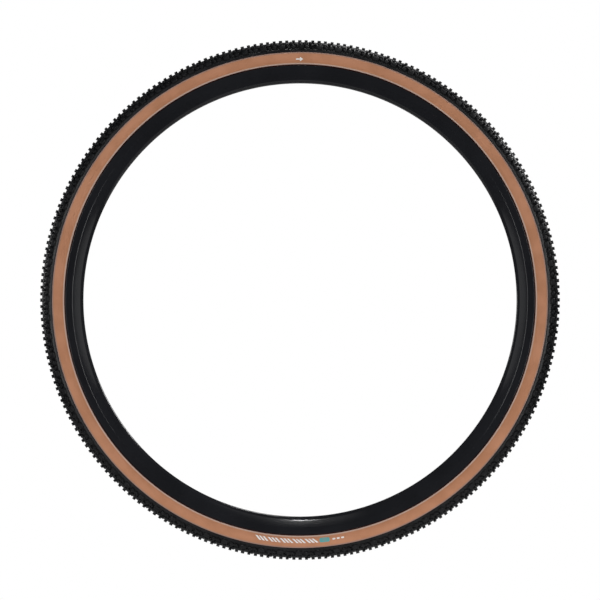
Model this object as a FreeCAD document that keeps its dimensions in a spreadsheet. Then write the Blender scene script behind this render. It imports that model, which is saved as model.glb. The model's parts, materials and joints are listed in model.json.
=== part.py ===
import FreeCAD, Part
import math
import os
import re
import Sketcher
from FreeCAD import Placement, Rotation, Vector

# Clincher bicycle tire, 38-622, fitted on a plain hooked rim hoop.
# Frame: origin at the wheel centre, +Y along the axle, +Z up.
# Every layer of the tire is an arc about the section centre, a point of the section plane
# that lies on the tire's middle plane. Section angles are measured from the crown.

doc = FreeCAD.newDocument("BicycleTire")
sheet = doc.addObject("Spreadsheet::Sheet", "Sizes")

CELLS = [
    # the wheel
    ("outsideRadius", 351.0), ("sectionCentre", 329.3), ("beadSeatRadius", 311.0),
    # radii of the layers about the section centre, from the outside in
    ("treadSurface", 19.1), ("treadInside", 18.0), ("turnupOutside", 17.0),
    ("plyOutside", 16.6), ("plyMiddle", 16.2), ("plyInside", 15.8), ("linerInside", 15.5),
    ("sidewallOutside", 17.5), ("labelOutside", 17.56),
    # angles of the layers' edges, in degrees from the crown
    ("centreBandEdge", 22.4), ("treadEdge", 70.5), ("baseEdge", 72.0),
    ("sidewallTop", 72.2), ("beltEdge", 52.0), ("turnupTop", 52.4), ("plyEdge", 139.3),
    ("sidewallEnd", 130.4),
    # the bead and the chafer strip round it
    ("beadAxial", 8.9), ("beadRadial", 313.6), ("coreRadius", 1.3), ("wrapOutside", 1.6),
    ("fillerHalf", 11.08), ("fillerBottom", 311.5), ("toeAxial", 6.9), ("toeTop", 6.7),
    ("chaferInside", 17.06), ("chaferOutside", 17.27), ("chaferTop", 130.7),
    ("chaferHalf", 11.5), ("chaferRubHalf", 11.35), ("chaferRubTop", 316.3),
    ("chaferRubEnd", 315.9), ("chaferToe", 6.5), ("chaferFit", 0.08), ("fillerGap", 0.02),
    # the rim hoop's outside
    ("hoopRadius", 292.6), ("hoopHalf", 12.95), ("hoopInsideHalf", 11.55),
    ("flangeRadius", 316.75), ("flangeRound", 0.65), ("flangeDepth", 1.0),
    ("seatInner", 6.3), ("wellRadius", 308.6), ("wellHalf", 4.4), ("sideHalf", 12.6),
    ("sideBottom", 307.2), ("hipHalf", 7.6), ("hipRadius", 296.0), ("landHalf", 4.0),
    ("sideRound", 9.0),
    # its hollow, with the well's and the seats' walls, and what is fitted to it
    ("wall", 1.4), ("hollowBottom", 294.4), ("hollowHip", 5.9), ("hollowHipRadius", 296.8),
    ("hollowSeat", 7.1), ("hollowWell", 5.1), ("sleeveSweep", 11.5), ("sleeveFit", 0.1),
    ("sleeveInset", 0.3), ("tapeThickness", 0.3), ("tapeLift", 0.02), ("tapeSink", 0.1),
    ("tapeWellHalf", 4.3), ("tapeSeatHalf", 6.1), ("tapeTopHalf", 5.8),
    # the tread blocks
    ("pitchCount", 84), ("blockHeight", 2.6), ("blockDraft", 0.28), ("blockRoot", 0.75),
    ("rootSpread", 0.05), ("centreCut", 0.165), ("shoulderCut", 0.89), ("facetAngle", 9.5),
    # the printed labels: degrees round the tire, and angles from the crown
    ("arrowTurn", 1.05), ("arrowSweep", 2.1),
    ("barTurn", 190.3), ("barSweep", 2.4), ("barGap", 0.55), ("barCount", 5),
    ("plateTurn", 175.4), ("plateSweep", 2.5),
    ("dashTurn", 172.3), ("dashSweep", 0.75), ("dashGap", 0.3), ("dashCount", 3),
    ("labelTop", 93.0), ("labelBottom", 116.0), ("dashTop", 99.0), ("dashBottom", 109.0),
]

# The tread blocks of one pitch on one side of the tire: place along the pitch, as a share
# of it, angle from the crown, length round the tire, width across it and slant in degrees.
# The pitches follow each other clockwise as seen from the tire's right side.
BLOCKS = {
    "ridgeFirst": (0.992, 5.6, 4.9, 3.2, 0.0),
    "ridgeSecond": (0.316, 5.6, 4.5, 3.2, 0.0),
    "ridgeThird": (0.663, 5.6, 4.2, 3.2, 0.0),
    "besideFirst": (0.992, 16.5, 4.6, 2.9, 0.0),
    "besideSecond": (0.316, 16.5, 4.3, 2.9, 0.0),
    "besideThird": (0.663, 16.5, 4.0, 2.9, 0.0),
    "innerShort": (0.535, 30.0, 4.2, 4.0, 0.0),
    "innerLong": (1.0, 35.0, 3.8, 3.8, 15.0),
    "middleWide": (0.27, 37.5, 8.2, 4.2, 0.0),
    "middleNarrow": (0.775, 37.5, 5.4, 4.2, 0.0),
    "outerWide": (0.06, 53.0, 8.2, 5.4, 0.0),
    "outerSlant": (0.375, 53.5, 6.0, 3.0, 38.0),
    "outerShort": (0.655, 53.0, 5.4, 4.2, 18.0),
}
BLOCK_FIELDS = ("Phase", "Angle", "Length", "Width", "Slant")
for blockName, values in BLOCKS.items():
    CELLS += [(blockName + field, value) for field, value in zip(BLOCK_FIELDS, values)]

for row, (alias, value) in enumerate(CELLS, start=1):
    sheet.set("A%d" % row, alias)
    sheet.set("B%d" % row, str(value))
    sheet.setAlias("B%d" % row, alias)
doc.recompute()


def size(alias):
    return float(sheet.get(alias))


def cell(alias):
    return "Sizes." + alias


turnedRound = Placement(Vector(0, 0, 0), Rotation(Vector(0, 0, 1), 180))
asMade = Placement()
nodes = []


def addNode(obj, label, placement=asMade):
    """Give a finished piece its name and its place."""
    obj.Label = label
    obj.Placement = placement
    nodes.append(obj)
    return obj


def sectionBody(name):
    """A body with an empty sketch on the plane that holds the axle and the section."""
    body = doc.addObject("PartDesign::Body", name)
    sketch = body.newObject("Sketcher::SketchObject", name + "Section")
    plane = [f for f in body.Origin.OriginFeatures if f.Role == "YZ_Plane"][0]
    sketch.AttachmentSupport = [(plane, "")]
    sketch.MapMode = "FlatFace"
    return body, sketch


def spin(body, sketch, degrees=360.0):
    """Turn the section round the axle."""
    ring = body.newObject("PartDesign::Revolution", body.Name + "Ring")
    ring.Profile = sketch
    ring.ReferenceAxis = (sketch, ["H_Axis"])
    ring.Angle = degrees
    sketch.Visibility = False
    return ring


def radialPoint(radius, degrees, axial=0.0, radial=None):
    """A point of the section, by its distance and angle from a centre."""
    centre = size("sectionCentre") if radial is None else radial
    turn = math.radians(degrees)
    return Vector(axial + radius * math.sin(turn), centre + radius * math.cos(turn), 0)


def arcBetween(start, end, centre):
    """The arc about centre from start to end, the short way that runs with the sketch."""
    radius = (start - centre).Length
    circle = Part.Circle(centre, Vector(0, 0, 1), radius)
    return Part.ArcOfCircle(circle, circle.parameter(start), circle.parameter(end))


def bandSection(sketch, outside, inside, first, last):
    """A curved strip between two layer radii, from angle first to angle last.

    first and last are aliases, and first may be None for a strip that is symmetrical."""
    outer, inner, end = size(outside), size(inside), size(last)
    start = -end if first is None else size(first)
    middle = Vector(0, size("sectionCentre"), 0)
    corners = [radialPoint(outer, start), radialPoint(outer, end),
               radialPoint(inner, end), radialPoint(inner, start)]
    arcOut = sketch.addGeometry(arcBetween(corners[1], corners[0], middle), False)
    arcIn = sketch.addGeometry(arcBetween(corners[2], corners[3], middle), False)
    lineEnd = sketch.addGeometry(Part.LineSegment(corners[1], corners[2]), False)
    lineStart = sketch.addGeometry(Part.LineSegment(corners[3], corners[0]), False)
    # an arc's point 1 is its start, 2 its end and 3 its centre
    sketch.addConstraint([
        Sketcher.Constraint("Coincident", arcOut, 1, lineEnd, 1),
        Sketcher.Constraint("Coincident", lineEnd, 2, arcIn, 1),
        Sketcher.Constraint("Coincident", arcIn, 2, lineStart, 1),
        Sketcher.Constraint("Coincident", lineStart, 2, arcOut, 2),
        Sketcher.Constraint("Coincident", arcOut, 3, arcIn, 3),
        Sketcher.Constraint("PointOnObject", arcOut, 3, -2),
    ])
    bind(sketch, "DistanceY", (-1, 1, arcOut, 3), cell("sectionCentre"), middle.y)
    bind(sketch, "Radius", (arcOut,), cell(outside), outer)
    bind(sketch, "Radius", (arcIn,), cell(inside), inner)
    startAngle = cell(last if first is None else first)
    for arc, point, layer, angle, corner in (
            (arcOut, 1, outside, cell(last), corners[1]),
            (arcIn, 1, inside, cell(last), corners[2]),
            (arcOut, 2, outside, startAngle, corners[0]),
            (arcIn, 2, inside, startAngle, corners[3])):
        height = "%s + %s * cos(%s)" % (cell("sectionCentre"), cell(layer), angle)
        bind(sketch, "DistanceY", (-1, 1, arc, point), height, corner.y)


def bind(sketch, kind, where, expression, value):
    """Add a dimension and tie it to the sheet."""
    index = sketch.addConstraint(Sketcher.Constraint(kind, *where, value))
    sketch.setExpression("Constraints[%d]" % index, expression)


def bandBody(name, outside, inside, first, last, placement=asMade):
    body, sketch = sectionBody(name)
    bandSection(sketch, outside, inside, first, last)
    spin(body, sketch)
    return addNode(body, name, placement)


def evaluate(expression):
    """The number that an expression on the sheet stands for."""
    return float(sheet.evalExpression(expression.replace("Sizes.", "")))


def outlineSection(sketch, corners):
    """A closed outline of straight edges. Each corner is a pair of expressions."""
    points = [Vector(evaluate(axial), evaluate(radial), 0) for axial, radial in corners]
    first = sketch.GeometryCount
    count = len(points)
    for index, point in enumerate(points):
        sketch.addGeometry(Part.LineSegment(point, points[(index + 1) % count]), False)
    for index in range(count):
        sketch.addConstraint(Sketcher.Constraint(
            "Coincident", first + index, 2, first + (index + 1) % count, 1))
    for index, (axial, radial) in enumerate(corners):
        where = (-1, 1, first + index, 1)
        bind(sketch, "DistanceX", where, axial, points[index].x)
        bind(sketch, "DistanceY", where, radial, points[index].y)


def bothSides(corners):
    """The corners of a half outline, then their mirror images in reverse order."""
    mirrored = [("-(%s)" % axial, radial) for axial, radial in reversed(corners)]
    return corners + mirrored


def named(*pairs):
    """Corner expressions written with the sheet's aliases alone."""
    words = [alias for alias, _ in CELLS]
    corners = []
    for pair in pairs:
        corner = []
        for text in pair:
            for word in sorted(words, key=len, reverse=True):
                text = re.sub(r"(?<![\w.])%s(?!\w)" % word, cell(word), text)
            corner.append(text)
        corners.append(tuple(corner))
    return corners


def outlineBody(name, corners, placement=asMade, degrees=360.0, hole=None):
    """Turn an outline into a ring. hole is a second outline inside the first."""
    body, sketch = sectionBody(name)
    outlineSection(sketch, corners)
    if hole:
        outlineSection(sketch, hole)
    spin(body, sketch, degrees)
    return addNode(body, name, placement)


def beadCircle(sketch, radius):
    """A circle about the bead's centre."""
    centre = Vector(size("beadAxial"), size("beadRadial"), 0)
    circle = sketch.addGeometry(Part.Circle(centre, Vector(0, 0, 1), size(radius)), False)
    bind(sketch, "DistanceX", (-1, 1, circle, 3), cell("beadAxial"), centre.x)
    bind(sketch, "DistanceY", (-1, 1, circle, 3), cell("beadRadial"), centre.y)
    bind(sketch, "Radius", (circle,), cell(radius), size(radius))


# --- the casing, from the inside out -------------------------------------------------
bandBody("inner_liner", "plyInside", "linerInside", None, "plyEdge")
bandBody("casing_ply_inner", "plyMiddle", "plyInside", None, "plyEdge")
bandBody("casing_ply_outer", "plyOutside", "plyMiddle", None, "plyEdge")
bandBody("breaker_belt", "turnupOutside", "plyOutside", None, "beltEdge")
bandBody("tread_base", "treadInside", "turnupOutside", None, "baseEdge")

SIDES = (("left", asMade), ("right", turnedRound))
for side, placement in SIDES:
    bandBody("ply_turnup_" + side, "turnupOutside", "plyOutside", "turnupTop", "plyEdge",
             placement)
    bandBody("sidewall_" + side, "sidewallOutside", "turnupOutside", "sidewallTop",
             "sidewallEnd", placement)


# --- the beads ------------------------------------------------------------------------
def beadCore(side, placement):
    """The hoop of aramid cord that holds the tire on the rim."""
    body, sketch = sectionBody("bead_core_" + side)
    beadCircle(sketch, "coreRadius")
    spin(body, sketch)
    addNode(body, "bead_core_" + side, placement)


def beadWrap(side, placement):
    """The rubbered tape wound round the core."""
    body, sketch = sectionBody("bead_wrap_" + side)
    beadCircle(sketch, "wrapOutside")
    beadCircle(sketch, "coreRadius")
    spin(body, sketch)
    addNode(body, "bead_wrap_" + side, placement)


def beadFiller(side, placement):
    """The rubber foot that joins the plies to the wrapped core and fills the rim's seat."""
    body, sketch = sectionBody("bead_filler_" + side)
    outlineSection(sketch, named(
        ("linerInside * sin(plyEdge)", "sectionCentre + linerInside * cos(plyEdge)"),
        ("fillerHalf", "sectionCentre + turnupOutside * cos(plyEdge)"),
        ("fillerHalf", "fillerBottom"),
        ("toeAxial", "fillerBottom"),
        ("toeTop", "beadRadial")))
    beadCircle(sketch, "wrapOutside")
    spin(body, sketch)
    addNode(body, "bead_filler_" + side, placement)


def chafer(side, placement):
    """The strip that takes the rim's rubbing, from the toe round to the sidewall's end."""
    outlineBody("chafer_" + side, named(
        ("chaferInside * sin(chaferTop)", "sectionCentre + chaferInside * cos(chaferTop)"),
        ("chaferOutside * sin(chaferTop)", "sectionCentre + chaferOutside * cos(chaferTop)"),
        ("chaferRubHalf", "chaferRubTop"),
        ("chaferHalf", "chaferRubEnd"),
        ("chaferHalf", "beadSeatRadius + chaferFit"),
        ("chaferToe", "beadSeatRadius + chaferFit"),
        ("chaferToe", "fillerBottom - fillerGap"),
        ("fillerHalf + fillerGap", "fillerBottom - fillerGap"),
        ("fillerHalf + fillerGap", "sectionCentre + chaferInside * cos(plyEdge)")),
        placement)


for side, placement in SIDES:
    beadCore(side, placement)
    beadWrap(side, placement)
    beadFiller(side, placement)
    chafer(side, placement)


# --- the rim hoop ---------------------------------------------------------------------
def roundEdges(body, name, radius, places):
    """Round the circular edges that lie at the given pairs of axial place and radius."""
    doc.recompute()
    base = body.Tip
    edges = []
    for number, edge in enumerate(base.Shape.Edges, start=1):
        point = edge.Vertexes[0].Point
        for axial, radial in places:
            near = math.hypot(abs(point.y) - axial, math.hypot(point.x, point.z) - radial)
            if near < 0.01 and edge.Length > 2 * radial:
                edges.append("Edge%d" % number)
    fillet = body.newObject("PartDesign::Fillet", name)
    fillet.Base = (base, edges)
    fillet.setExpression("Radius", cell(radius))


def rimHoop():
    """A hollow double-walled hoop with two flanges, two bead seats and a well."""
    outside = bothSides(named(
        ("landHalf", "hoopRadius"), ("hipHalf", "hipRadius"), ("sideHalf", "sideBottom"),
        ("hoopHalf", "flangeRadius - flangeDepth"), ("hoopHalf", "flangeRadius"),
        ("hoopInsideHalf", "flangeRadius"), ("hoopInsideHalf", "beadSeatRadius"),
        ("seatInner", "beadSeatRadius"), ("wellHalf", "wellRadius")))
    inside = bothSides(named(
        ("landHalf", "hollowBottom"), ("hollowHip", "hollowHipRadius"),
        ("sideHalf - wall", "sideBottom"), ("sideHalf - wall", "beadSeatRadius - wall"),
        ("hollowSeat", "beadSeatRadius - wall"), ("hollowWell", "wellRadius - wall")))
    body = outlineBody("rim_hoop", outside, hole=inside)
    flange = size("flangeRadius")
    roundEdges(body, "FlangeRounds", "flangeRound",
               [(size("hoopHalf"), flange), (size("hoopInsideHalf"), flange)])
    roundEdges(body, "SideRounds", "sideRound",
               [(size("hipHalf"), size("hipRadius")), (size("sideHalf"), size("sideBottom"))])


def rimTape():
    """The strip that closes the well, over the bed from seat to seat."""
    outlineBody("rim_tape", bothSides(named(
        ("tapeWellHalf", "wellRadius + tapeLift"),
        ("tapeSeatHalf", "beadSeatRadius - tapeSink"),
        ("tapeTopHalf", "beadSeatRadius - tapeSink + tapeThickness"),
        ("tapeWellHalf", "wellRadius + tapeLift + tapeThickness"))))


def jointSleeve():
    """The plug that holds the hoop's two ends together, inside the box section."""
    middle = Placement(Vector(0, 0, 0), Rotation(Vector(0, 1, 0), 180))
    half = Rotation(Vector(0, 1, 0), -size("sleeveSweep") / 2)
    middle.Rotation = middle.Rotation.multiply(half)
    outlineBody("rim_joint_sleeve", bothSides(named(
        ("landHalf - sleeveInset", "hollowBottom + sleeveFit"),
        ("hollowHip - sleeveInset", "hollowHipRadius + sleeveFit"),
        ("sideHalf - wall - sleeveInset", "sideBottom"),
        ("sideHalf - wall - sleeveInset", "beadSeatRadius - wall - sleeveFit"),
        ("hollowSeat", "beadSeatRadius - wall - sleeveFit"),
        ("hollowWell", "wellRadius - wall - sleeveFit"))),
        middle, size("sleeveSweep"))


rimHoop()
rimTape()
jointSleeve()


# --- the tread ------------------------------------------------------------------------
pitchDegrees = 360.0 / size("pitchCount")
wheelAxle = (Vector(0, 0, 0), Vector(0, 1, 0))


def treadBlock(name, side, phaseShift):
    """One block: a four-sided stub with sloping sides on the tread's surface.

    side is 1 on the left and -1 on the right."""
    phase, degrees, length, width, slant = [size(name + field) for field in BLOCK_FIELDS]
    turn = math.radians(degrees) * side
    outward = Vector(0, math.sin(turn), math.cos(turn))
    across = Vector(0, math.cos(turn), -math.sin(turn)) * side
    along = Vector(1, 0, 0)
    lean = math.radians(slant)
    foot = Vector(0, 0, size("sectionCentre")) + outward * size("treadSurface")

    def ring(height, shrink):
        halfLength = length / 2 - shrink
        halfWidth = width / 2 - shrink
        flat = [(-halfLength, -halfWidth), (halfLength, -halfWidth),
                (halfLength, halfWidth), (-halfLength, halfWidth)]
        points = []
        for u, v in flat:
            uu = u * math.cos(lean) - v * math.sin(lean)
            vv = u * math.sin(lean) + v * math.cos(lean)
            points.append(foot + outward * height + along * uu + across * vv)
        return Part.makePolygon(points + points[:1])

    block = Part.makeLoft([ring(-size("blockRoot"), -size("rootSpread")),
                           ring(size("blockHeight"), size("blockDraft"))], True, True)
    block.rotate(*wheelAxle, (phase + phaseShift) * pitchDegrees)
    return block


def treadWedge(first, last, cut):
    """The tread's strip between two section angles, one pitch long from the cut.

    Across the tire its surface is a row of narrow straight facets."""
    count = math.ceil((last - first) / size("facetAngle"))
    angles = [first + (last - first) * step / count for step in range(count + 1)]
    corners = [radialPoint(size("treadSurface"), angle) for angle in angles]
    corners += [radialPoint(size("treadInside"), angle) for angle in reversed(angles)]
    points = [Vector(0, corner.x, corner.y) for corner in corners]
    section = Part.Face(Part.makePolygon(points + points[:1]))
    section.rotate(*wheelAxle, cut * pitchDegrees)
    return section.revolve(*wheelAxle, pitchDegrees)


def treadBand(name, first, last, cut, blocks):
    """A strip of tread with its blocks: one pitch is made, then repeated round the wheel
    and joined along the pitch's two open ends."""
    wedge = treadWedge(first, last, cut)
    pitch = wedge.multiFuse(blocks)
    skin = []
    for face in pitch.Faces:
        ends = [abs(math.remainder(math.degrees(math.atan2(v.X, v.Z)) - cut * pitchDegrees,
                                   pitchDegrees)) for v in face.Vertexes]
        plane = face.Surface.TypeId == "Part::GeomPlane" and face.Surface.Axis.y ** 2 < 1e-9
        if not (plane and max(ends) < 1e-4):
            skin.append(face)
    faces = []
    for step in range(int(size("pitchCount"))):
        for face in skin:
            copy = face.copy()
            copy.rotate(*wheelAxle, step * pitchDegrees)
            faces.append(copy)
    shell = Part.makeCompound(faces)
    shell.sewShape(0.001)
    band = Part.Solid(shell.Shells[0] if shell.ShapeType == "Compound" else shell)
    if band.Volume < 0:
        band.reverse()
    grown = (band.Volume / size("pitchCount") - pitch.Volume) / pitch.Volume
    if len(pitch.Solids) != 1 or abs(grown) > 1e-3:
        raise SystemExit("%s isn't closed: %g" % (name, grown))
    piece = doc.addObject("Part::Feature", name)
    piece.Shape = band
    addNode(piece, name)


CENTRE = [name for name in BLOCKS if name.startswith(("ridge", "beside"))]
SHOULDER = [name for name in BLOCKS if name not in CENTRE]


def pitchBlocks(names, side, shift, cut):
    """The blocks of one side, each moved by whole pitches to stand past the cut."""
    blocks = []
    for name in names:
        behind = math.floor(size(name + "Phase") + shift - cut)
        blocks.append(treadBlock(name, side, shift - behind))
    return blocks


# the centre rows of both sides run in step, the shoulders half a pitch apart
edge, cut = size("centreBandEdge"), size("centreCut")
treadBand("tread_centre", -edge, edge, cut,
          pitchBlocks(CENTRE, -1, 0.0, cut) + pitchBlocks(CENTRE, 1, 0.0, cut))
for side, sign, shift in (("left", 1, 0.5), ("right", -1, 0.0)):
    start, end = sorted((sign * edge, sign * size("treadEdge")))
    shoulderCut = size("shoulderCut") + shift
    treadBand("tread_shoulder_" + side, start, end, shoulderCut,
              pitchBlocks(SHOULDER, sign, shift, shoulderCut))


# --- the printed labels -----------------------------------------------------------------
def label(name, turn, sweep, placement, count=1, gap=0.0, edges=("labelTop", "labelBottom")):
    """Thin printed patches on a sidewall, one or a row of them."""
    body, sketch = sectionBody(name)
    body.AllowCompound = True
    bandSection(sketch, "labelOutside", "sidewallOutside", *edges)
    patch = spin(body, sketch, sweep)
    if count > 1:
        row = body.newObject("PartDesign::PolarPattern", name + "Row")
        row.Originals = [patch]
        row.Axis = (sketch, ["H_Axis"])
        row.Angle = (count - 1) * (sweep + gap)
        row.Occurrences = count
        body.Tip = row
    about = Placement(Vector(0, 0, 0), Rotation(Vector(0, 1, 0), turn))
    addNode(body, name, about.multiply(placement))


for side, placement in SIDES:
    # seen from its own side each label reads the same way round
    facing = 1 if side == "right" else -1
    label("arrow_label_" + side, facing * size("arrowTurn"), size("arrowSweep"), placement)
    label("bar_label_" + side, facing * size("barTurn"), size("barSweep"), placement,
          int(size("barCount")), size("barGap"))
    label("plate_label_" + side, facing * size("plateTurn"), size("plateSweep"), placement)
    label("dash_label_" + side, facing * size("dashTurn"), size("dashSweep"), placement,
          int(size("dashCount")), size("dashGap"), ("dashTop", "dashBottom"))

doc.recompute()
for obj in doc.Objects:
    if "Invalid" in obj.State or "Error" in obj.State:
        raise SystemExit("%s failed: %s" % (obj.Name, obj.State))

os.makedirs("parts", exist_ok=True)
for node in nodes:
    shape = node.Shape
    if shape.isNull() or not shape.isValid():
        raise SystemExit("%s has no valid shape" % node.Label)
    shape.exportStep("parts/%s.step" % node.Label)
    box = shape.BoundBox
    print("%-20s %2d solid(s) %9.2f cm3  y %7.2f to %6.2f  z %8.2f to %7.2f" % (
        node.Label, len(shape.Solids), shape.Volume / 1000,
        box.YMin, box.YMax, box.ZMin, box.ZMax))
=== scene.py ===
import bpy
import bmesh
import json
import math
from mathutils import Matrix, Vector


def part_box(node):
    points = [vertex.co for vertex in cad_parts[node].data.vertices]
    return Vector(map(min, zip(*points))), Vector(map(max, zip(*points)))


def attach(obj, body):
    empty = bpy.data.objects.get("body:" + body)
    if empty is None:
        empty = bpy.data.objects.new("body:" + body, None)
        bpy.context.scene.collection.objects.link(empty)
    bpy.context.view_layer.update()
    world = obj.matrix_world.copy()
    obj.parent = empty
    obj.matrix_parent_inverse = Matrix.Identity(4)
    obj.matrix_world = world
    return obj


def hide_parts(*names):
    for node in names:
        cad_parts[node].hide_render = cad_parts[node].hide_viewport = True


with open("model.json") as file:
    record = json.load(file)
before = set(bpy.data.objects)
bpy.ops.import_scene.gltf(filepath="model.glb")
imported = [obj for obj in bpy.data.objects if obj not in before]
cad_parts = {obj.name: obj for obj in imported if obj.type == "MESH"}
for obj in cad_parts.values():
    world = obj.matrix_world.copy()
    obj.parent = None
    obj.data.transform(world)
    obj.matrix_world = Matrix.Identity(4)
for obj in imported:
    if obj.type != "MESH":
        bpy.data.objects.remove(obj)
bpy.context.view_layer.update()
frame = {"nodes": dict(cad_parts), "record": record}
print("frame loaded")

mm = 0.001
axle = Vector((0, 1, 0))

# The wheel's own measures. The crown and the hole come from the frame.
wheel = {
    "crown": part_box("tread_centre")[1][2],
    "hole": frame["record"]["mounts"][0]["dims"]["r_mm"] * mm,
    "steps": 336,          # facets round every ring
    "pitches": 84,         # repeats of the tread's pattern
}

# The tire's round section: distances from the section's centre line
section = {"tread": 19.1 * mm, "block": 2.6 * mm, "base": 17.06 * mm,
           "skin": 17.5 * mm, "skinBack": 17.0 * mm, "chafer": 17.22 * mm}
section["centre"] = wheel["crown"] - section["tread"] - section["block"]


def sectionPoint(distance, degrees):
    # a point of the section plane, from its distance and its angle from the crown
    turn = math.radians(degrees)
    return Vector((0, distance * math.sin(turn), section["centre"] + distance * math.cos(turn)))


class Pen:
    # draws a section outline with straight and round strokes
    def __init__(self, start):
        self.bm = bmesh.new()
        self.first = self.last = self.bm.verts.new(start)

    def line(self, point):
        vert = self.bm.verts.new(point)
        self.bm.edges.new((self.last, vert))
        self.last = vert

    def arc(self, centre, degrees, steps):
        # swing the last point round centre; positive turns go away from the crown on +Y
        done = bmesh.ops.spin(self.bm, geom=[self.last], cent=centre, axis=(1, 0, 0),
                              dvec=(0, 0, 0), angle=math.radians(-degrees), steps=steps)
        self.last = done["geom_last"][0]

    def close(self):
        self.bm.edges.new((self.last, self.first))
        return self.bm


def spinRing(bm, steps=None):
    # turn a closed outline round the axle
    bmesh.ops.spin(bm, geom=bm.verts[:] + bm.edges[:], cent=(0, 0, 0), axis=axle,
                   dvec=(0, 0, 0), angle=2 * math.pi, steps=steps or wheel["steps"],
                   use_merge=True, use_duplicate=False)
    bmesh.ops.remove_doubles(bm, verts=bm.verts[:], dist=1e-6)
    bmesh.ops.recalc_face_normals(bm, faces=bm.faces[:])
    return bm


def finishPiece(name, bm, material, nodes=(), sharp=32):
    # a mesh object with its finish, riding on the wheel
    mesh = bpy.data.meshes.new(name)
    bm.to_mesh(mesh)
    bm.free()
    piece = bpy.data.objects.new(name, mesh)
    bpy.context.collection.objects.link(piece)
    mesh.shade_smooth()
    mesh.set_sharp_from_angle(angle=math.radians(sharp))
    mesh.materials.append(material)
    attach(piece, "root")
    if nodes:
        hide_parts(*nodes)


def mirrored(bm):
    # the same shape on the other side of the wheel
    bmesh.ops.transform(bm, matrix=Matrix.Scale(-1, 4, axle), verts=bm.verts[:])
    bmesh.ops.reverse_faces(bm, faces=bm.faces[:])


def newTree(material):
    material.use_nodes = True
    tree = material.node_tree
    shader = tree.nodes["Principled BSDF"]
    return tree, shader


def mathNode(tree, operation, first, second=None, third=None):
    node = tree.nodes.new("ShaderNodeMath")
    node.operation = operation
    for socket, value in zip(node.inputs, (first, second, third)):
        if value is None:
            continue
        if isinstance(value, (int, float)):
            socket.default_value = value
        else:
            tree.links.new(value, socket)
    return node.outputs[0]


def mixColour(tree, factor, first, second):
    node = tree.nodes.new("ShaderNodeMix")
    node.data_type = "RGBA"
    for socket, value in ((node.inputs[0], factor), (node.inputs[6], first),
                          (node.inputs[7], second)):
        if isinstance(value, tuple):
            socket.default_value = value
        elif isinstance(value, (int, float)):
            socket.default_value = value
        else:
            tree.links.new(value, socket)
    return node.outputs[2]


def smoothStep(tree, value, low, high, outLow=0.0, outHigh=1.0):
    node = tree.nodes.new("ShaderNodeMapRange")
    node.interpolation_type = "SMOOTHSTEP"
    tree.links.new(value, node.inputs[0])
    for socket, number in zip(node.inputs[1:5], (low, high, outLow, outHigh)):
        socket.default_value = number
    return node.outputs[0]


def noise(tree, vector, scale, detail=2.0, roughness=0.5):
    node = tree.nodes.new("ShaderNodeTexNoise")
    node.inputs["Scale"].default_value = scale
    node.inputs["Detail"].default_value = detail
    node.inputs["Roughness"].default_value = roughness
    tree.links.new(vector, node.inputs["Vector"])
    return node.outputs["Fac"]


def newGroup(name, inputs, outputs):
    group = bpy.data.node_groups.new(name, "ShaderNodeTree")
    for label, kind, value in inputs:
        socket = group.interface.new_socket(label, in_out="INPUT", socket_type=kind)
        if value is not None:
            socket.default_value = value
    for label, kind in outputs:
        group.interface.new_socket(label, in_out="OUTPUT", socket_type=kind)
    start = group.nodes.new("NodeGroupInput")
    end = group.nodes.new("NodeGroupOutput")
    return group, start.outputs, end.inputs


def placeGroup(tree, group, values=None):
    node = tree.nodes.new("ShaderNodeGroup")
    node.node_tree = group
    for label, value in (values or {}).items():
        node.inputs[label].default_value = value
    return node


# where a point lies: its turn round the wheel and angle round the section in radians, and
# its radius in metres
def wheelPlaceGroup():
    group, start, end = newGroup("wheelPlace", [("Vector", "NodeSocketVector", None)],
                                 [("Turn", "NodeSocketFloat"), ("Radius", "NodeSocketFloat"),
                                  ("Across", "NodeSocketFloat")])
    split = group.nodes.new("ShaderNodeSeparateXYZ")
    group.links.new(start["Vector"], split.inputs[0])
    x, y, z = split.outputs
    turn = mathNode(group, "ARCTAN2", x, z)
    radius = mathNode(group, "SQRT", mathNode(group, "ADD", mathNode(group, "MULTIPLY", x, x),
                                              mathNode(group, "MULTIPLY", z, z)))
    height = mathNode(group, "SUBTRACT", radius, section["centre"])
    across = mathNode(group, "ARCTAN2", mathNode(group, "ABSOLUTE", y), height)
    for label, value in (("Turn", turn), ("Radius", radius), ("Across", across)):
        group.links.new(value, end[label])
    return group


# moulded grain: a fine height, and broad patches that vary over the rubber
def grainGroup():
    group, start, end = newGroup(
        "mouldGrain", [("Vector", "NodeSocketVector", None), ("Fine", "NodeSocketFloat", 900.0),
                       ("Coarse", "NodeSocketFloat", 60.0)],
        [("Height", "NodeSocketFloat"), ("Patch", "NodeSocketFloat")])
    fine = group.nodes.new("ShaderNodeTexNoise")
    fine.inputs["Detail"].default_value = 3.0
    coarse = group.nodes.new("ShaderNodeTexNoise")
    coarse.inputs["Detail"].default_value = 4.0
    for node, label in ((fine, "Fine"), (coarse, "Coarse")):
        group.links.new(start["Vector"], node.inputs["Vector"])
        group.links.new(start[label], node.inputs["Scale"])
    group.links.new(fine.outputs["Fac"], end["Height"])
    group.links.new(coarse.outputs["Fac"], end["Patch"])
    return group


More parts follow.
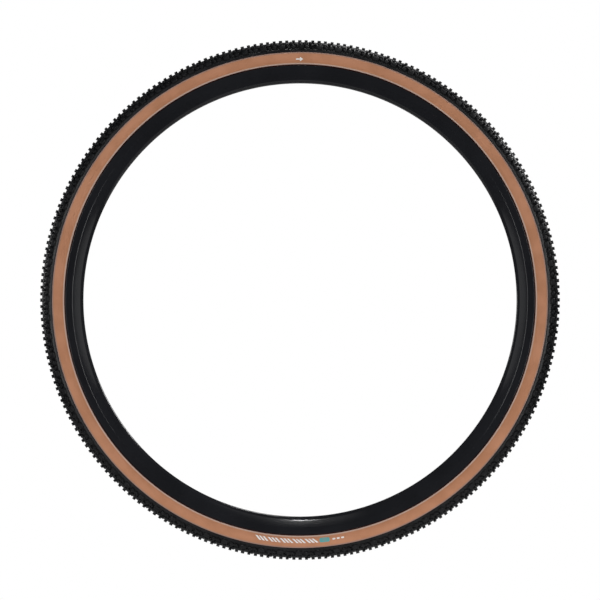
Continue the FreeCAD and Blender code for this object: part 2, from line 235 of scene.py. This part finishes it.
# crossing cords under thin rubber: two families of slanting threads
def cordGroup():
    group, start, end = newGroup(
        "cordWeave", [("Turn", "NodeSocketFloat", 0.0), ("Across", "NodeSocketFloat", 0.0),
                      ("Threads", "NodeSocketFloat", 2000.0), ("Pace", "NodeSocketFloat", 100.0)],
        [("Height", "NodeSocketFloat"), ("Cross", "NodeSocketFloat")])
    steady = mathNode(group, "MULTIPLY", start["Turn"], start["Threads"])
    slope = mathNode(group, "MULTIPLY", start["Across"], start["Pace"])
    right = mathNode(group, "SINE", mathNode(group, "ADD", steady, slope))
    left = mathNode(group, "SINE", mathNode(group, "SUBTRACT", steady, slope))
    group.links.new(mathNode(group, "MULTIPLY_ADD", left, 0.45, right), end["Height"])
    group.links.new(mathNode(group, "MULTIPLY", left, right), end["Cross"])
    return group


wheelPlace = wheelPlaceGroup()
mouldGrain = grainGroup()
cordWeave = cordGroup()


def objectPlace(tree):
    return tree.nodes.new("ShaderNodeTexCoord").outputs["Object"]


def addBump(tree, shader, height, strength, distance):
    bump = tree.nodes.new("ShaderNodeBump")
    bump.inputs["Strength"].default_value = strength
    bump.inputs["Distance"].default_value = distance
    tree.links.new(height, bump.inputs["Height"])
    tree.links.new(bump.outputs["Normal"], shader.inputs["Normal"])


# how far a point stands out of the tread's grooves, from 0 to 1
def reliefGroup():
    group, start, end = newGroup("treadRelief", [("Vector", "NodeSocketVector", None)],
                                 [("Height", "NodeSocketFloat")])
    where = placeGroup(group, wheelPlace)
    group.links.new(start["Vector"], where.inputs["Vector"])
    split = group.nodes.new("ShaderNodeSeparateXYZ")
    group.links.new(start["Vector"], split.inputs[0])
    out = mathNode(group, "SUBTRACT", where.outputs["Radius"], section["centre"])
    distance = mathNode(group, "SQRT", mathNode(
        group, "MULTIPLY_ADD", out, out, mathNode(group, "POWER", split.outputs[1], 2.0)))
    group.links.new(smoothStep(group, distance, section["tread"] - 0.1 * mm,
                               section["tread"] + section["block"] - 0.3 * mm), end["Height"])
    return group


treadRelief = reliefGroup()


def treadMaterial():
    # painted shade: the grooves are coloured darker than the tops of the blocks
    material = rubberMaterial("treadRubber", *treadLook["rubber"], gloss=treadLook["gloss"])
    tree = material.node_tree
    shader = tree.nodes["Principled BSDF"]
    relief = placeGroup(tree, treadRelief)
    tree.links.new(objectPlace(tree), relief.inputs["Vector"])
    plain = shader.inputs["Base Color"].links[0].from_socket
    # painted shade in the grooves, fading out towards the block tops
    wearAndShade = mixColour(tree, smoothStep(tree, relief.outputs["Height"], 0.0, 1.0),
                     treadLook["grooveShade"], plain)
    tree.links.new(wearAndShade, shader.inputs["Base Color"])
    return material


def rubberMaterial(name, dark, light, roughLow, roughHigh, grain=900.0, strength=0.35,
                   gloss=0.22):
    material = bpy.data.materials.new(name)
    tree, shader = newTree(material)
    shader.inputs["Specular IOR Level"].default_value = gloss
    place = objectPlace(tree)
    grains = placeGroup(tree, mouldGrain, {"Fine": grain, "Coarse": 55.0})
    tree.links.new(place, grains.inputs["Vector"])
    patch = smoothStep(tree, grains.outputs["Patch"], 0.35, 0.7)
    tree.links.new(mixColour(tree, patch, dark, light), shader.inputs["Base Color"])
    rough = smoothStep(tree, grains.outputs["Patch"], 0.3, 0.7, roughLow, roughHigh)
    tree.links.new(rough, shader.inputs["Roughness"])
    addBump(tree, shader, grains.outputs["Height"], strength, 0.0002)
    return material


# tan skin: rubber over crossing cords, paler and greyer towards both edges
tanLook = {
    "middle": (0.500, 0.205, 0.098, 1), "warm": (0.425, 0.170, 0.076, 1),
    "thread": (0.590, 0.305, 0.180, 1), "outer": (0.330, 0.205, 0.165, 1),
    "rim": (0.620, 0.450, 0.370, 1), "outerStart": 80.5, "outerEnd": 76.5,
    "rimStart": 120.5, "rimEnd": 125.5, "threads": 1260.0, "pace": 62.0,
}


def tanMaterial():
    material = bpy.data.materials.new("tanSkin")
    tree, shader = newTree(material)
    place = objectPlace(tree)
    where = placeGroup(tree, wheelPlace)
    tree.links.new(place, where.inputs["Vector"])
    cords = placeGroup(tree, cordWeave, {"Threads": tanLook["threads"], "Pace": tanLook["pace"]})
    tree.links.new(where.outputs["Turn"], cords.inputs["Turn"])
    tree.links.new(where.outputs["Across"], cords.inputs["Across"])
    grains = placeGroup(tree, mouldGrain, {"Fine": 1400.0, "Coarse": 38.0})
    tree.links.new(place, grains.inputs["Vector"])
    patch = smoothStep(tree, grains.outputs["Patch"], 0.35, 0.68)
    colour = mixColour(tree, patch, tanLook["middle"], tanLook["warm"])
    thread = smoothStep(tree, cords.outputs["Height"], -1.2, 1.2, 0.0, 0.42)
    colour = mixColour(tree, thread, colour, tanLook["thread"])
    outerEdge = smoothStep(tree, where.outputs["Across"], math.radians(tanLook["outerStart"]),
                           math.radians(tanLook["outerEnd"]), 0.0, 0.9)
    colour = mixColour(tree, outerEdge, colour, tanLook["outer"])
    innerEdge = smoothStep(tree, where.outputs["Across"], math.radians(tanLook["rimStart"]),
                           math.radians(tanLook["rimEnd"]), 0.0, 0.95)
    colour = mixColour(tree, innerEdge, colour, tanLook["rim"])
    tree.links.new(colour, shader.inputs["Base Color"])
    tree.links.new(smoothStep(tree, grains.outputs["Patch"], 0.3, 0.7, 0.55, 0.72),
                   shader.inputs["Roughness"])
    height = mathNode(tree, "MULTIPLY_ADD", grains.outputs["Height"], 0.5,
                      cords.outputs["Height"])
    addBump(tree, shader, height, 0.25, 0.00012)
    return material


# satin anodised hoop with a faint drawn grain that runs round it
hoopLook = {"dark": (0.0104, 0.0109, 0.0130, 1), "light": (0.0132, 0.0138, 0.0164, 1),
            "rough": (0.09, 0.13), "gloss": 0.30, "drawnRound": 1.5, "drawnOut": 2600,
            "bump": (0.05, 0.0001)}


def hoopMaterial():
    material = bpy.data.materials.new("satinBlackHoop")
    tree, shader = newTree(material)
    place = objectPlace(tree)
    where = placeGroup(tree, wheelPlace)
    tree.links.new(place, where.inputs["Vector"])
    join = tree.nodes.new("ShaderNodeCombineXYZ")
    tree.links.new(mathNode(tree, "MULTIPLY", where.outputs["Turn"],
                            hoopLook["drawnRound"]), join.inputs[0])
    tree.links.new(mathNode(tree, "MULTIPLY", where.outputs["Radius"],
                            hoopLook["drawnOut"]), join.inputs[1])
    drawn = noise(tree, join.outputs[0], 1.0, 2.0)
    grains = placeGroup(tree, mouldGrain, {"Fine": 1600.0, "Coarse": 14.0})
    tree.links.new(place, grains.inputs["Vector"])
    colour = mixColour(tree, smoothStep(tree, grains.outputs["Patch"], 0.35, 0.65),
                       hoopLook["dark"], hoopLook["light"])
    tree.links.new(colour, shader.inputs["Base Color"])
    rough = smoothStep(tree, drawn, 0.3, 0.7, *hoopLook["rough"])
    tree.links.new(rough, shader.inputs["Roughness"])
    shader.inputs["Specular IOR Level"].default_value = hoopLook["gloss"]
    addBump(tree, shader, mathNode(tree, "ADD", drawn, grains.outputs["Height"]),
            *hoopLook["bump"])
    return material


def printMaterial(name, colour, wearAndShade):
    material = bpy.data.materials.new(name)
    tree, shader = newTree(material)
    place = objectPlace(tree)
    grains = placeGroup(tree, mouldGrain, {"Fine": 1500.0, "Coarse": 260.0})
    tree.links.new(place, grains.inputs["Vector"])
    mask = smoothStep(tree, grains.outputs["Patch"], 0.52, 0.72)
    tree.links.new(mixColour(tree, mask, colour, wearAndShade), shader.inputs["Base Color"])
    tree.links.new(smoothStep(tree, grains.outputs["Height"], 0.3, 0.7, 0.42, 0.6),
                   shader.inputs["Roughness"])
    addBump(tree, shader, grains.outputs["Height"], 0.2, 0.0001)
    return material


# plain inner cords, in their own colours, for the pieces shut inside the tire
def cordMaterial(name, dark, light, threads, pace):
    material = bpy.data.materials.new(name)
    tree, shader = newTree(material)
    where = placeGroup(tree, wheelPlace)
    tree.links.new(objectPlace(tree), where.inputs["Vector"])
    cords = placeGroup(tree, cordWeave, {"Threads": threads, "Pace": pace})
    tree.links.new(where.outputs["Turn"], cords.inputs["Turn"])
    tree.links.new(where.outputs["Across"], cords.inputs["Across"])
    mask = smoothStep(tree, cords.outputs["Height"], -1.2, 1.2)
    tree.links.new(mixColour(tree, mask, dark, light), shader.inputs["Base Color"])
    tree.links.new(smoothStep(tree, cords.outputs["Cross"], -1, 1, 0.6, 0.8),
                   shader.inputs["Roughness"])
    addBump(tree, shader, cords.outputs["Height"], 0.4, 0.0002)
    return material


# the tread rubber's tones, and a darker colour that paints shade into the grooves
treadLook = {"rubber": ((0.0070, 0.0074, 0.0086, 1), (0.0115, 0.0120, 0.0136, 1), 0.38, 0.52),
             "grooveShade": (0.0022, 0.0023, 0.0028, 1), "gloss": 0.20}
treadRubber = treadMaterial()
baseRubber = rubberMaterial("treadBaseRubber", (0.0050, 0.0052, 0.0060, 1),
                            (0.0080, 0.0082, 0.0094, 1), 0.30, 0.42, grain=700.0, gloss=0.24)
# the chafer's dark red-brown is partly its own dark rubber and partly painted shade of the tan
# skin where it turns under towards the hoop
chaferRubber = rubberMaterial("chaferRubber", (0.030, 0.0060, 0.0040, 1),
                              (0.042, 0.010, 0.006, 1), 0.6, 0.75, gloss=0.12)
fillerRubber = rubberMaterial("fillerRubber", (0.02, 0.02, 0.02, 1),
                              (0.03, 0.03, 0.03, 1), 0.6, 0.75)
tanSkin = tanMaterial()
satinBlackHoop = hoopMaterial()
printWhite = printMaterial("printWhite", (0.82, 0.80, 0.78, 1), (0.62, 0.50, 0.42, 1))
printTeal = printMaterial("printTeal", (0.095, 0.37, 0.37, 1), (0.18, 0.33, 0.31, 1))
casingCord = cordMaterial("casingCord", (0.16, 0.12, 0.08, 1), (0.34, 0.27, 0.19, 1), 1260, 60)
beltCord = cordMaterial("beltCord", (0.12, 0.11, 0.06, 1), (0.32, 0.29, 0.15, 1), 840, 40)
aramidCord = cordMaterial("aramidCord", (0.42, 0.33, 0.10, 1), (0.68, 0.56, 0.22, 1), 1680, 30)
tapeCloth = cordMaterial("tapeCloth", (0.02, 0.05, 0.16, 1), (0.05, 0.10, 0.28, 1), 1050, 90)
bareAluminium = rubberMaterial("bareAluminium", (0.50, 0.51, 0.53, 1),
                               (0.60, 0.61, 0.63, 1), 0.28, 0.42, gloss=0.5)
bareAluminium.node_tree.nodes["Principled BSDF"].inputs["Metallic"].default_value = 1.0
print("materials made")

# the pieces that stay as the frame has them get their finish here
innerFinish = {
    "inner_liner": fillerRubber, "casing_ply_inner": casingCord,
    "casing_ply_outer": casingCord, "breaker_belt": beltCord,
    "rim_tape": tapeCloth, "rim_joint_sleeve": bareAluminium,
}
for side in ("left", "right"):
    innerFinish["ply_turnup_" + side] = casingCord
    innerFinish["bead_core_" + side] = aramidCord
    innerFinish["bead_wrap_" + side] = casingCord
    innerFinish["bead_filler_" + side] = fillerRubber
for node, material in innerFinish.items():
    for holder in frame["nodes"][node].material_slots:
        holder.material = material


# The rim hoop: half widths and radii of its outline from the hole out to the flange and seat
hoop = {"half": 12.95 * mm, "inside": 11.55 * mm, "flange": 316.75 * mm,
        "flangeDepth": 1 * mm, "seat": 311.0 * mm, "seatEdge": 6.3 * mm,
        "well": 308.6 * mm, "wellHalf": 4.4 * mm, "side": 12.6 * mm, "sideEnd": 307.3 * mm,
        "flank": 10.22 * mm, "flankAt": 301.6 * mm, "hip": 7.6 * mm, "hipAt": 296.0 * mm,
        "land": 4.0 * mm, "steps": 360,
        # width and segments of each rounded corner
        "rounds": {"flange": (0.68 * mm, 5), "side": (0.3 * mm, 4), "flank": (4.6 * mm, 12),
                   "hip": (1.1 * mm, 6), "land": (1.2 * mm, 5)}}


def hoopOutline():
    bm = bmesh.new()
    half = [(hoop["land"], wheel["hole"]), (hoop["hip"], hoop["hipAt"]),
            (hoop["flank"], hoop["flankAt"]), (hoop["side"], hoop["sideEnd"]),
            (hoop["half"], hoop["flange"] - hoop["flangeDepth"]),
            (hoop["half"], hoop["flange"]), (hoop["inside"], hoop["flange"]),
            (hoop["inside"], hoop["seat"]), (hoop["seatEdge"], hoop["seat"]),
            (hoop["wellHalf"], hoop["well"])]
    corners = half + [(-y, r) for y, r in reversed(half)]
    verts = [bm.verts.new((0, y, r)) for y, r in corners]
    bm.faces.new(verts)

    def roundOff(corner, picked):
        width, segments = hoop["rounds"][corner]
        bmesh.ops.bevel(bm, geom=picked, offset=width, offset_type="OFFSET", affect="VERTICES",
                        segments=segments, profile=0.5, material=-1)

    def near(y, r):
        return [v for v in bm.verts if abs(abs(v.co.y) - y) < 1e-6 and abs(v.co.z - r) < 1e-6]

    roundOff("flange", near(hoop["half"], hoop["flange"]) + near(hoop["inside"], hoop["flange"]))
    roundOff("side", near(hoop["side"], hoop["sideEnd"]))
    roundOff("flank", near(hoop["flank"], hoop["flankAt"]))
    roundOff("hip", near(hoop["hip"], hoop["hipAt"]))
    roundOff("land", near(hoop["land"], wheel["hole"]))
    bmesh.ops.delete(bm, geom=bm.faces[:], context="FACES_ONLY")
    return bm


finishPiece("rimHoop", spinRing(hoopOutline(), hoop["steps"]), satinBlackHoop,
            ["rim_hoop"], sharp=40)
print("hoop made")


# The tan skins: section angles of both ends, and how they thin at the rim
skin = {"top": 71.0, "end": 130.4, "taper": 1.5, "thin": (0.06 * mm, 0.6),
        "tip": 0.22 * mm, "steps": 26}


def skinOutline():
    centre = (0, 0, section["centre"])
    pen = Pen(sectionPoint(section["skinBack"], skin["top"]))
    pen.line(sectionPoint(section["skin"], skin["top"]))
    pen.arc(centre, skin["end"] - skin["taper"] - skin["top"], skin["steps"])
    drop, before = skin["thin"]
    pen.line(sectionPoint(section["skin"] - drop, skin["end"] - before))
    pen.line(sectionPoint(section["skin"] - skin["tip"], skin["end"]))
    pen.line(sectionPoint(section["skinBack"], skin["end"]))
    pen.arc(centre, skin["top"] - skin["end"], skin["steps"])
    return spinRing(pen.bm)


# the chafer starts just past the skin's end, and wraps the bead in millimetre corners (y, radius)
chafer = {"gap": 0.1, "back": 17.06 * mm, "sweep": 4.0,
          "wrap": [(11.42, 316.3), (11.5, 315.6), (11.5, 311.08), (6.5, 311.08),
                   (6.5, 311.48), (11.1, 311.48), (11.12, 316.3)]}


def chaferOutline():
    end = skin["end"] + chafer["gap"]
    corners = [sectionPoint(chafer["back"], end), sectionPoint(section["chafer"], end),
               sectionPoint(section["chafer"], end + chafer["sweep"])]
    corners += [Vector((0, y * mm, radius * mm)) for y, radius in chafer["wrap"]]
    pen = Pen(corners[0])
    for corner in corners[1:]:
        pen.line(corner)
    return spinRing(pen.close())


for side, flip in (("Left", False), ("Right", True)):
    node = side.lower()
    tan, strip = skinOutline(), chaferOutline()
    if flip:
        mirrored(tan)
        mirrored(strip)
    finishPiece("tanSkin" + side, tan, tanSkin, ["sidewall_" + node])
    finishPiece("chafer" + side, strip, chaferRubber, ["chafer_" + node])
print("sidewalls made")


# The undertread and its smooth feet, in section angles and heights over the skin
tread = {"foot": 73.1, "lip": 0.12 * mm, "feather": 0.45 * mm, "lipWidth": 0.7,
         "slope": [(66, 0.5 * mm), (61.5, 0.12 * mm)], "crownEdge": 58, "crownSteps": 40,
         "backTurn": -144, "backSteps": 36}


def treadOutline():
    # the smooth strip between the blocks and the tan thins towards its edge
    centre = (0, 0, section["centre"])
    start, end = -tread["foot"], tread["foot"]
    pen = Pen(sectionPoint(section["base"], start))
    pen.line(sectionPoint(section["skin"] + tread["lip"], start))
    pen.line(sectionPoint(section["skin"] + tread["feather"], start + tread["lipWidth"]))
    for degrees, drop in tread["slope"]:
        pen.line(sectionPoint(section["tread"] - drop, -degrees))
    pen.line(sectionPoint(section["tread"], -tread["crownEdge"]))
    pen.arc(centre, 2 * tread["crownEdge"], tread["crownSteps"])
    for degrees, drop in reversed(tread["slope"]):
        pen.line(sectionPoint(section["tread"] - drop, degrees))
    pen.line(sectionPoint(section["skin"] + tread["feather"], end - tread["lipWidth"]))
    pen.line(sectionPoint(section["skin"] + tread["lip"], end))
    pen.line(sectionPoint(section["base"], end))
    # this stops short of the first point, so a narrow hidden seam stays open
    pen.arc(centre, tread["backTurn"], tread["backSteps"])
    return spinRing(pen.bm)


finishPiece("treadBase", treadOutline(), baseRubber,
            ["tread_base"], sharp=40)

# each block: place along the pitch, angle from the crown, length, width, slant,
# and how far its outer wall slopes out to its foot
blocks = {
    "ridge": [(0.992, 5.6, 4.9, 3.2, 0, 0), (0.316, 5.6, 4.5, 3.2, 0, 0),
              (0.663, 5.6, 4.2, 3.2, 0, 0)],
    "beside": [(0.992, 16.5, 4.6, 2.9, 0, 0), (0.316, 16.5, 4.3, 2.9, 0, 0),
               (0.663, 16.5, 4.0, 2.9, 0, 0)],
    "inner": [(0.535, 30.0, 4.2, 4.0, 0, 0), (1.0, 35.0, 3.8, 3.8, 15, 0),
              (0.27, 37.5, 8.2, 4.2, 0, 0), (0.775, 37.5, 5.4, 4.2, 0, 0)],
    "outer": [(0.06, 53.0, 8.2, 5.4, 0, 1.1), (0.375, 53.5, 6.0, 3.0, 38, 0.3),
              (0.655, 53.0, 5.4, 4.2, 18, 0.6)],
}
blockShape = {"root": 1.1, "draft": 0.20, "edge": 0.26, "corner": 0.35}


def addBlock(bm, side, shift, phase, angle, length, width, slant, slope):
    # one stub: a flat outline with cut corners, raised, narrowed at the top and eased there
    made = bmesh.ops.create_grid(bm, x_segments=1, y_segments=1, size=0.5 * mm)
    bmesh.ops.scale(bm, vec=(length, width, 1), verts=made["verts"])
    cut = bmesh.ops.bevel(bm, geom=made["verts"], offset=blockShape["corner"] * mm,
                          offset_type="OFFSET", affect="VERTICES", segments=1, profile=0.5,
                          material=-1)
    face = cut["verts"][0].link_faces[0]
    verts = list(face.verts)
    raised = bmesh.ops.extrude_face_region(bm, geom=[face])
    top = [g for g in raised["geom"] if isinstance(g, bmesh.types.BMVert)]
    lid = [g for g in raised["geom"] if isinstance(g, bmesh.types.BMFace)][0]
    for vert in verts:
        if vert.co.y * side > 0:
            vert.co.y += slope * side * mm
    height = blockShape["root"] * mm + section["block"]
    shrink = 1 - 2 * blockShape["draft"] / length, 1 - 2 * blockShape["draft"] / width
    for vert in top:
        vert.co.z += height
        vert.co.x *= shrink[0]
        vert.co.y *= shrink[1]
    bmesh.ops.bevel(bm, geom=lid.edges[:], offset=blockShape["edge"] * mm,
                    offset_type="OFFSET", affect="EDGES", segments=2, profile=0.5, material=-1)
    everything = set(verts)
    grow = list(verts)
    while grow:
        for edge in grow.pop().link_edges:
            for vert in edge.verts:
                if vert not in everything:
                    everything.add(vert)
                    grow.append(vert)
    turn = math.radians(angle) * side
    lean = Matrix.Rotation(math.radians(slant) * side, 4, "Z")
    out = Matrix.Translation((0, 0, section["tread"] - blockShape["root"] * mm))
    tilt = Matrix.Rotation(-turn, 4, "X")
    lift = Matrix.Translation((0, 0, section["centre"]))
    around = Matrix.Rotation((phase + shift) * 2 * math.pi / wheel["pitches"], 4, "Y")
    bmesh.ops.transform(bm, matrix=around @ lift @ tilt @ out @ lean, verts=list(everything))


def blockRing(name, kinds, sides, nodes):
    # one pitch of blocks, repeated round the wheel; the last copy lands on the first
    bm = bmesh.new()
    for side, shift in sides:
        for kind in kinds:
            for block in blocks[kind]:
                addBlock(bm, side, shift, *block)
    bmesh.ops.spin(bm, geom=bm.verts[:] + bm.edges[:] + bm.faces[:], cent=(0, 0, 0), axis=axle,
                   dvec=(0, 0, 0), angle=2 * math.pi, steps=wheel["pitches"],
                   use_duplicate=True, use_merge=True)
    bmesh.ops.remove_doubles(bm, verts=bm.verts[:], dist=1e-6)
    bmesh.ops.recalc_face_normals(bm, faces=bm.faces[:])
    finishPiece(name, bm, treadRubber, nodes, sharp=50)


blockRing("treadRidges", ["ridge", "beside"], [(-1, 0), (1, 0)], ["tread_centre"])
blockRing("treadShoulderRight", ["inner", "outer"], [(-1, 0)], ["tread_shoulder_right"])
blockRing("treadShoulderLeft", ["inner", "outer"], [(1, 0.5)], ["tread_shoulder_left"])
print("tread made")


# The printed labels. Each mark: middle and sweep in degrees round the wheel, clockwise as
# seen from the right, then middle and height in degrees across the skin, and slant.
# The arrow: where its tail, neck and tip stand, its middle and height, and its shaft's share.
labels = {
    "lift": 0.055 * mm, "sink": 0.03 * mm, "corner": 0.22,
    "tick": 0.52, "ticks": 3, "tickStep": 0.86, "slant": 0.010,
    "bars": [189.1, 186.15, 183.2, 180.25, 177.3], "barMiddle": 104.5, "barHeight": 19.0,
    "plate": (174.15, 2.4, 104.5, 21.0),
    "dashes": [171.92, 170.87, 169.82], "dash": (0.7, 104.0, 7.5),
    "arrow": (-0.95, 0.0, 0.75, 104.5, 20.0, 0.3),
}


def flatPatch(bm, cells):
    # a thin slab two units wide and high, finely divided so that it can bend
    before = set(bm.verts)
    bmesh.ops.create_grid(bm, x_segments=cells[0], y_segments=cells[1], size=1)
    faces = [f for f in bm.faces if f.verts[0] not in before]
    raised = bmesh.ops.extrude_face_region(bm, geom=faces)
    for part in raised["geom"]:
        if isinstance(part, bmesh.types.BMVert):
            part.co.z = 1
    return [v for v in bm.verts if v not in before]


def layOn(verts, side, turn, sweep, middle, height, slant=0.0):
    # bend a patch onto the skin of one side
    for vert in verts:
        x, y = vert.co.x, vert.co.y
        across = math.radians(middle + y * height / 2)
        distance = section["skin"] + (labels["lift"] if vert.co.z else -labels["sink"])
        around = math.radians(turn + x * sweep / 2) + slant * y
        vert.co = Vector((0, side * distance * math.sin(across),
                          section["centre"] + distance * math.cos(across)))
        vert.co.rotate(Matrix.Rotation(-side * around, 3, "Y"))


def easeCorners(verts):
    # pull the corners in, so that the patch reads as a rounded block
    for vert in verts:
        x, y = vert.co.x, vert.co.y
        vert.co.x *= math.sqrt(1 - labels["corner"] * y ** 6)
        vert.co.y *= math.sqrt(1 - labels["corner"] * x ** 6)


def barLabel(side):
    # five groups of slanting ticks
    bm = bmesh.new()
    for middle in labels["bars"]:
        for tick in range(labels["ticks"]):
            turn = middle + (1 - tick) * labels["tickStep"]
            verts = flatPatch(bm, (2, 8))
            layOn(verts, side, turn, labels["tick"], labels["barMiddle"],
                  labels["barHeight"], labels["slant"])
    return bm


def plateLabel(side):
    bm = bmesh.new()
    verts = flatPatch(bm, (10, 10))
    easeCorners(verts)
    layOn(verts, side, *labels["plate"])
    return bm


def dashLabel(side):
    bm = bmesh.new()
    for turn in labels["dashes"]:
        sweep, middle, height = labels["dash"]
        verts = flatPatch(bm, (4, 4))
        easeCorners(verts)
        layOn(verts, side, turn, sweep, middle, height)
    return bm


def arrowLabel(side):
    # a shaft and a head, which point the same way round the wheel on both sides
    bm = bmesh.new()
    tail, neck, tip, middle, height, slim = labels["arrow"]
    shaft = flatPatch(bm, (4, 3))
    layOn(shaft, side, -side * (tail + neck) / 2, -side * (neck - tail), middle, height * slim)
    head = flatPatch(bm, (6, 8))
    for vert in head:
        vert.co.y *= (1 - vert.co.x) / 2 + 0.02
    layOn(head, side, -side * (neck + tip) / 2, -side * (tip - neck), middle, height)
    return bm


labelKinds = (("arrow", arrowLabel, printWhite, "label_white"),
              ("bar", barLabel, printWhite, "label_white"),
              ("plate", plateLabel, printTeal, "label_teal"),
              ("dash", dashLabel, printWhite, "label_white"))
for side, sign in (("Right", -1), ("Left", 1)):
    for kind, shape, material, slot in labelKinds:
        bm = shape(sign)
        bmesh.ops.remove_doubles(bm, verts=bm.verts[:], dist=1e-6)
        bmesh.ops.recalc_face_normals(bm, faces=bm.faces[:])
        finishPiece(kind + "Label" + side, bm, material,
                    [kind + "_label_" + side.lower()], sharp=60)
print("labels made")


def areaLight(name, place, target, size, power):
    light = bpy.data.lights.new(name, "AREA")
    light.shape = "RECTANGLE"
    light.size, light.size_y = size
    light.energy = power
    holder = bpy.data.objects.new(name, light)
    holder.location = place
    holder.rotation_euler = (Vector(target) - Vector(place)).to_track_quat("-Z", "Y").to_euler()
    bpy.context.collection.objects.link(holder)


areaLight("topSpot", (0, -2.30, 2.50), (0, 0, -0.28), (0.10, 0.10), 13)
areaLight("rightBox", (2.05, -4.0, 0.1), (0, 0, 0), (1.0, 2.2), 62)
areaLight("leftBox", (-2.05, -4.0, 0.1), (0, 0, 0), (1.0, 2.2), 56)
areaLight("rightWrap", (3.45, -2.9, 0), (0, 0, 0), (1.3, 2.6), 11)
areaLight("leftWrap", (-3.45, -2.9, 0), (0, 0, 0), (1.3, 2.6), 10)
areaLight("topWrap", (0.3, -2.9, 3.45), (0, 0, 0), (2.4, 1.1), 4)
areaLight("rightRim", (2.6, 1.2, 1.6), (0, 0, 0), (1.0, 1.0), 62)
areaLight("topRim", (0.6, 1.2, 2.8), (0, 0, 0), (0.8, 0.8), 34)
areaLight("leftRim", (-2.8, 1.2, 0.3), (0, 0, 0), (1.0, 1.0), 22)

# a white backdrop for the camera only; the room itself is dim
world = bpy.data.worlds.new("studio")
world.use_nodes = True
bpy.context.scene.world = world
tree = world.node_tree
back = tree.nodes["Background"]
seen = tree.nodes.new("ShaderNodeLightPath").outputs["Is Camera Ray"]
tree.links.new(mixColour(tree, seen, (0.05, 0.051, 0.053, 1), (1, 1, 1, 1)), back.inputs["Color"])

# a round floor, set back and low enough to stay under the camera's view
stage = {"radius": 0.98, "segments": 96, "middle": (0, 0.36, -0.47),
         "paper": (0.78, 0.78, 0.77, 1), "paperRough": 0.9}
floorBm = bmesh.new()
bmesh.ops.create_circle(floorBm, cap_ends=True, radius=stage["radius"],
                        segments=stage["segments"],
                        matrix=Matrix.Translation(stage["middle"]))
floorMesh = bpy.data.meshes.new("floor")
floorBm.to_mesh(floorMesh)
floorBm.free()
floor = bpy.data.objects.new("floor", floorMesh)
bpy.context.collection.objects.link(floor)
paper = bpy.data.materials.new("palePaper")
paperShader = newTree(paper)[1]
paperShader.inputs["Base Color"].default_value = stage["paper"]
paperShader.inputs["Roughness"].default_value = stage["paperRough"]
floorMesh.materials.append(paper)

view = {"distance": 9.0, "width": 0.8106, "sensor": 36.0}
camera = bpy.data.objects.new("camera", bpy.data.cameras.new("camera"))
camera.data.sensor_width = view["sensor"]
camera.data.lens = view["sensor"] * view["distance"] / view["width"]
camera.data.clip_end = 50
camera.location = (0, -view["distance"], 0)
camera.rotation_euler = (math.radians(90), 0, 0)
bpy.context.collection.objects.link(camera)
bpy.context.scene.camera = camera
bpy.context.scene.view_settings.view_transform = "Standard"
print("stage set")
